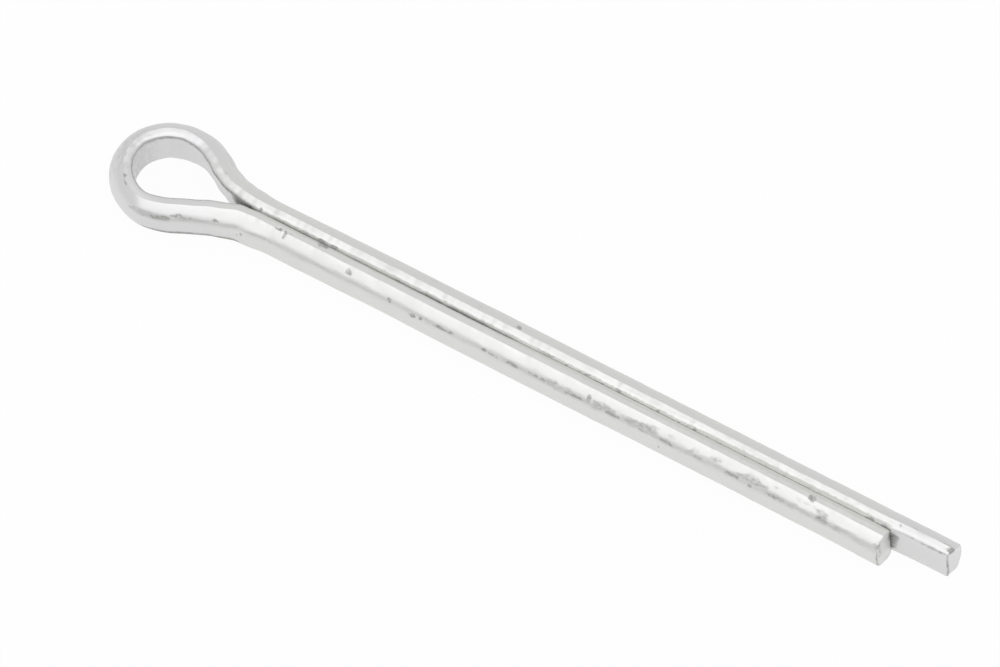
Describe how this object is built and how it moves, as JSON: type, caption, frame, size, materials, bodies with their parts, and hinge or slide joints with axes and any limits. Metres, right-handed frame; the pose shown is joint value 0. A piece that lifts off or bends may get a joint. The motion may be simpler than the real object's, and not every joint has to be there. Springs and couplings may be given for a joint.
{
  "type": "cotter pin",
  "caption": "Split cotter pin: half-round wire folded into a rounded eye and two straight legs, one longer, that push through a hole and are bent apart to lock it.",
  "frame": {"origin": "on the shank's axis, where both legs have become straight, just past the necks of the eye", "axes": "+X along the shank to the cut ends, +Y towards the long leg's side, +Z square to the plane that the wire is folded in"},
  "size_m": [0.0809, 0.0101, 0.0042],
  "materials": {
    "zinc_plated_steel": "bright zinc plating over drawn wire, softly glossy, with small scuffs and pits"
  },
  "bodies": {
    "root": {"cotter_pin": "zinc_plated_steel"}
  },
  "joints": []
}
